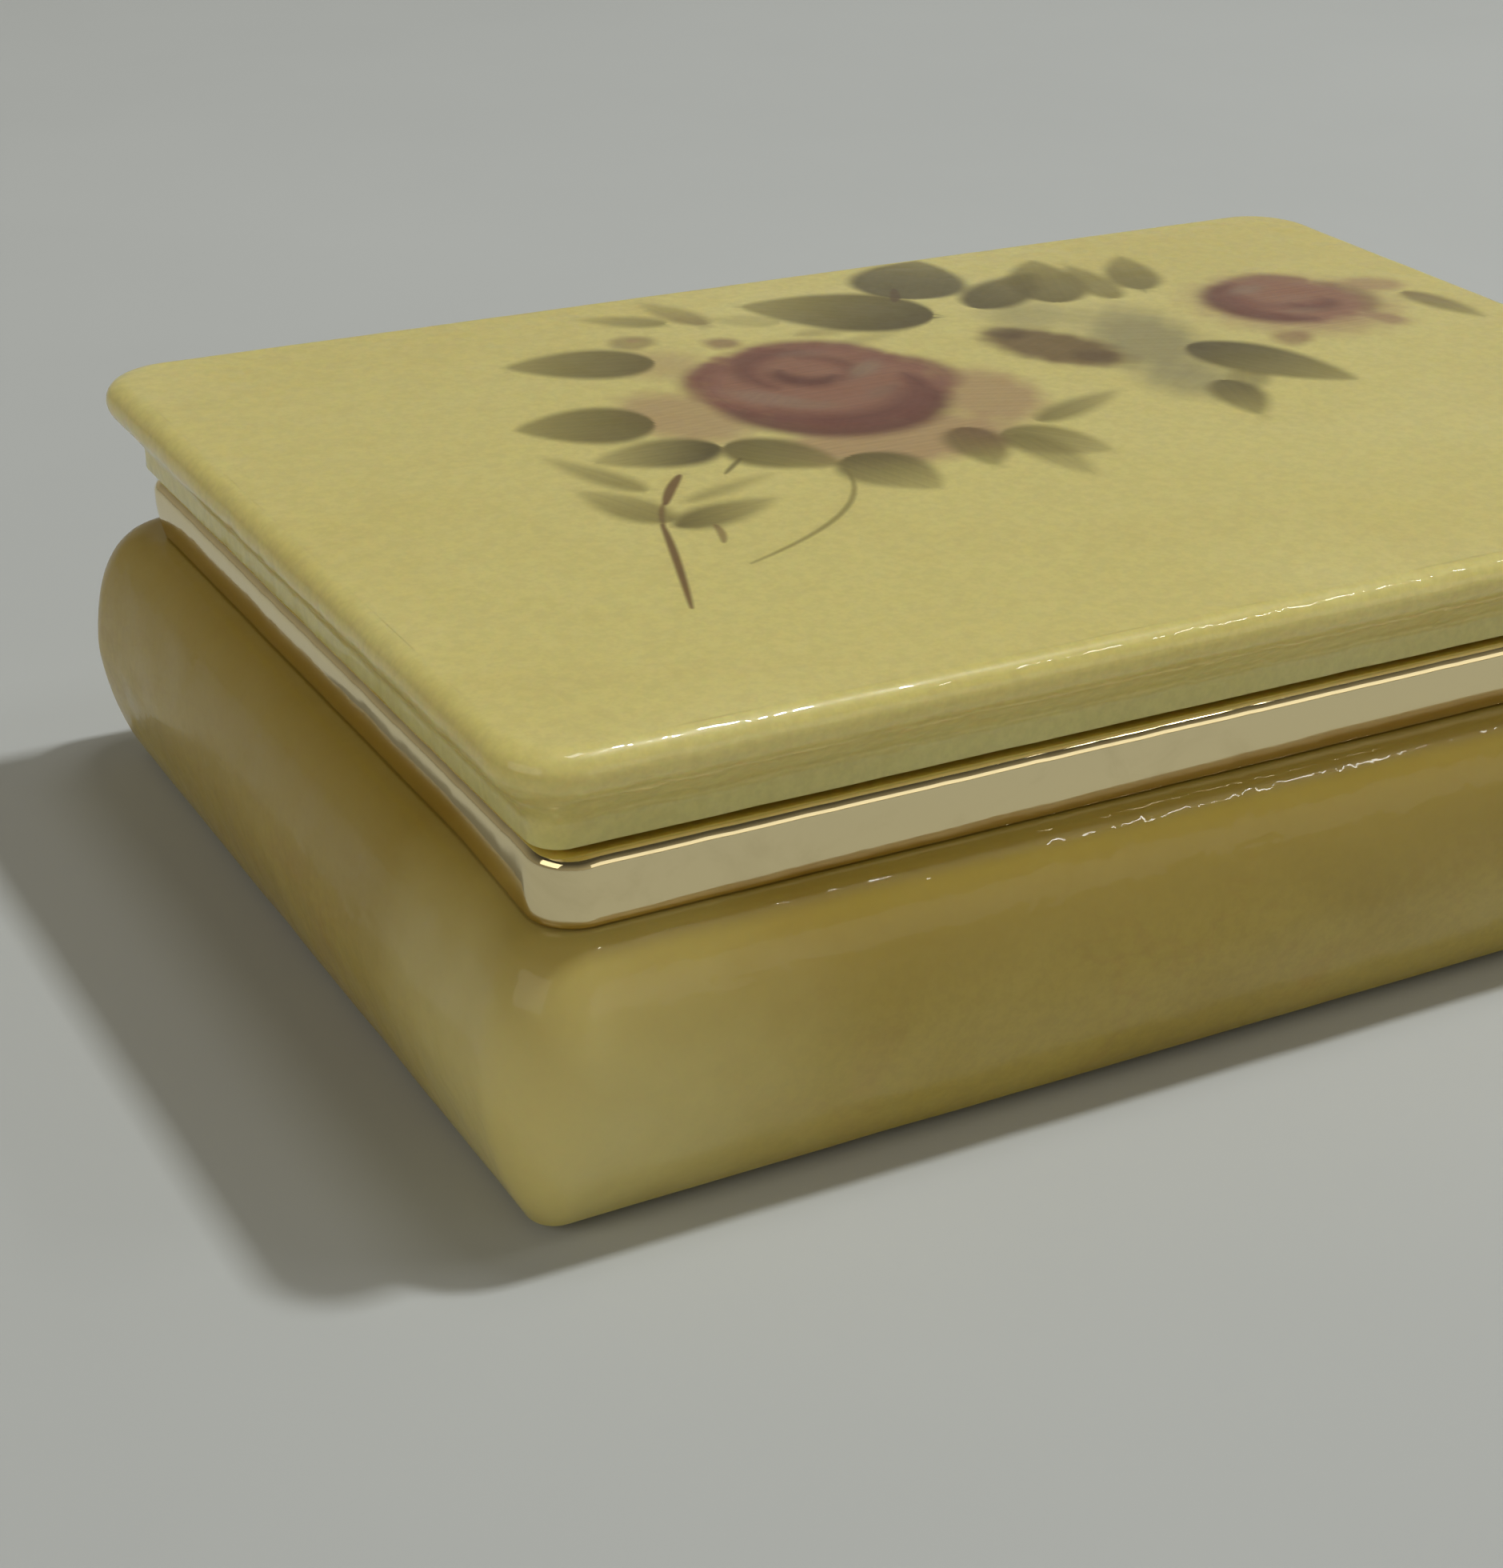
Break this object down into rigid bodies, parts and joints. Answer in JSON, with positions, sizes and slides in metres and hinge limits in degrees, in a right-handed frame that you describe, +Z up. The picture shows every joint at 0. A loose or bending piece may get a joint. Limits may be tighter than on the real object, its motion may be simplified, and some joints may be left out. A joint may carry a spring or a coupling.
{
  "type": "trinket box",
  "caption": "Low rectangular stone box with bulging sides, a brass collar, and a brass-hinged overhanging lid painted with flowers.",
  "frame": {"origin": "centre of the box's footprint, on the surface that it stands on", "axes": "+X along the long side, +Y towards the hinge, +Z up; the lid opens at the -Y side"},
  "size_m": [0.11, 0.0774, 0.0306],
  "materials": {
    "body_stone": "polished translucent honey-yellow alabaster",
    "lid_stone": "polished and varnished alabaster, painted with roses and leaves",
    "collar_brass": "gilt, mirror polished",
    "frame_brass": "polished",
    "hinge_brass": "satin, slightly tarnished",
    "pin_steel": "drawn wire, hammered ends",
    "base_felt": "thin wool felt"
  },
  "bodies": {
    "box": {"alabaster_body": "body_stone", "body_collar": "collar_brass", "hinge_leaf_body": "hinge_brass", "hinge_pin": "pin_steel", "felt_base_pad": "base_felt"},
    "lid": {"alabaster_lid": "lid_stone", "lid_frame": "frame_brass", "hinge_leaf_lid": "hinge_brass"}
  },
  "joints": [
    {"name": "lid_hinge", "type": "hinge", "parent": "box", "child": "lid", "pos_m": [0, 0.0347, 0.022], "axis": [-1, 0, 0], "range_deg": [0, 100]}
  ]
}
